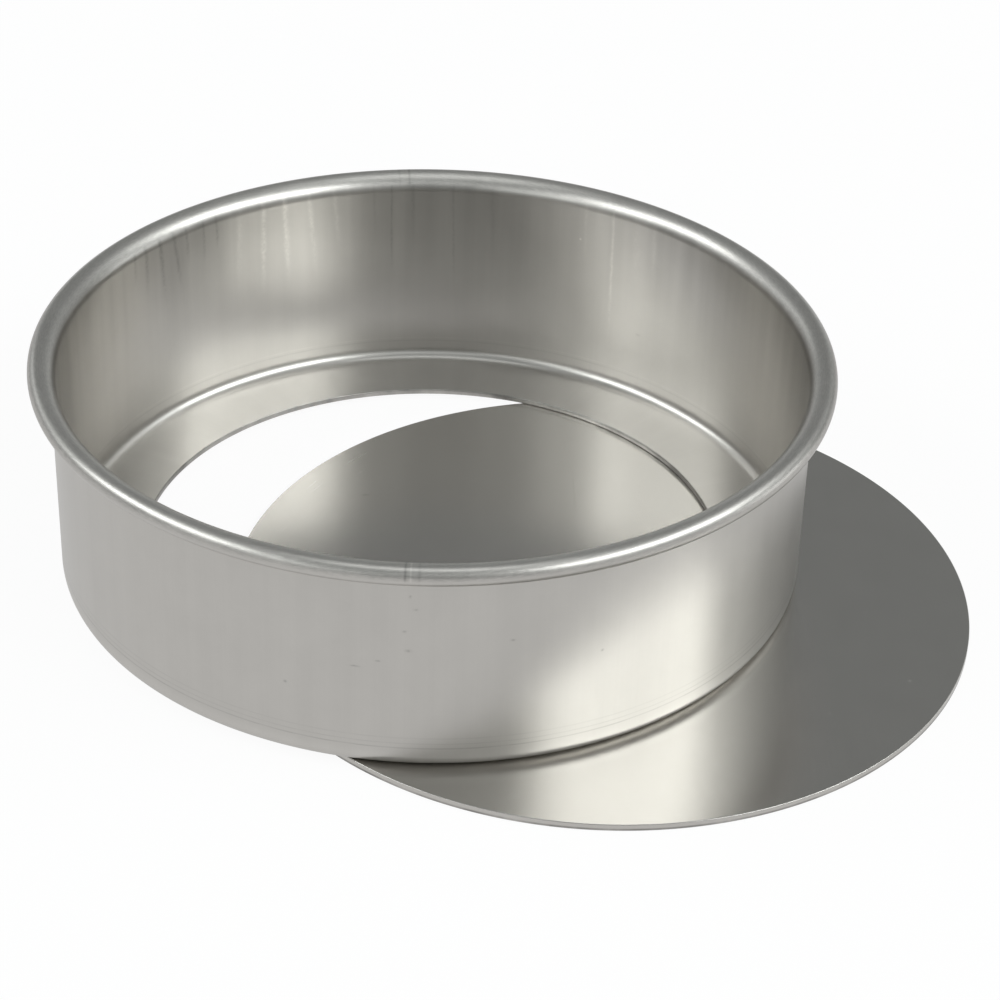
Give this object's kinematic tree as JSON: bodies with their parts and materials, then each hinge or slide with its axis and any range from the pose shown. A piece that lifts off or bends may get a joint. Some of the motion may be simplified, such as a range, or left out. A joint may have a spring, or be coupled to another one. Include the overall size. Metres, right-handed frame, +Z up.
{
  "type": "round cake tin",
  "caption": "Round cake tin with a rolled rim and an inner ledge, shown taken apart: the ring stands partly on its loose flat base.",
  "frame": {"origin": "on the ring's axis, on the table, which is the plane of the loose base's underside", "axes": "+Z up along the ring's axis; the picture looks along +Y and down, with +X to the right; the loose base is drawn out towards +X and -Y"},
  "size_m": [0.3216, 0.2919, 0.0819],
  "materials": {
    "ring_aluminium": "satin, natural",
    "base_aluminium": "satin, natural"
  },
  "bodies": {
    "base": {"loose_base": "base_aluminium"},
    "ring": {"side_ring": "ring_aluminium"}
  },
  "joints": [
    {"name": "ring_lift", "type": "slide", "parent": "base", "child": "ring", "axis": [0, 0, 1], "range_m": [0, 0.09]}
  ]
}
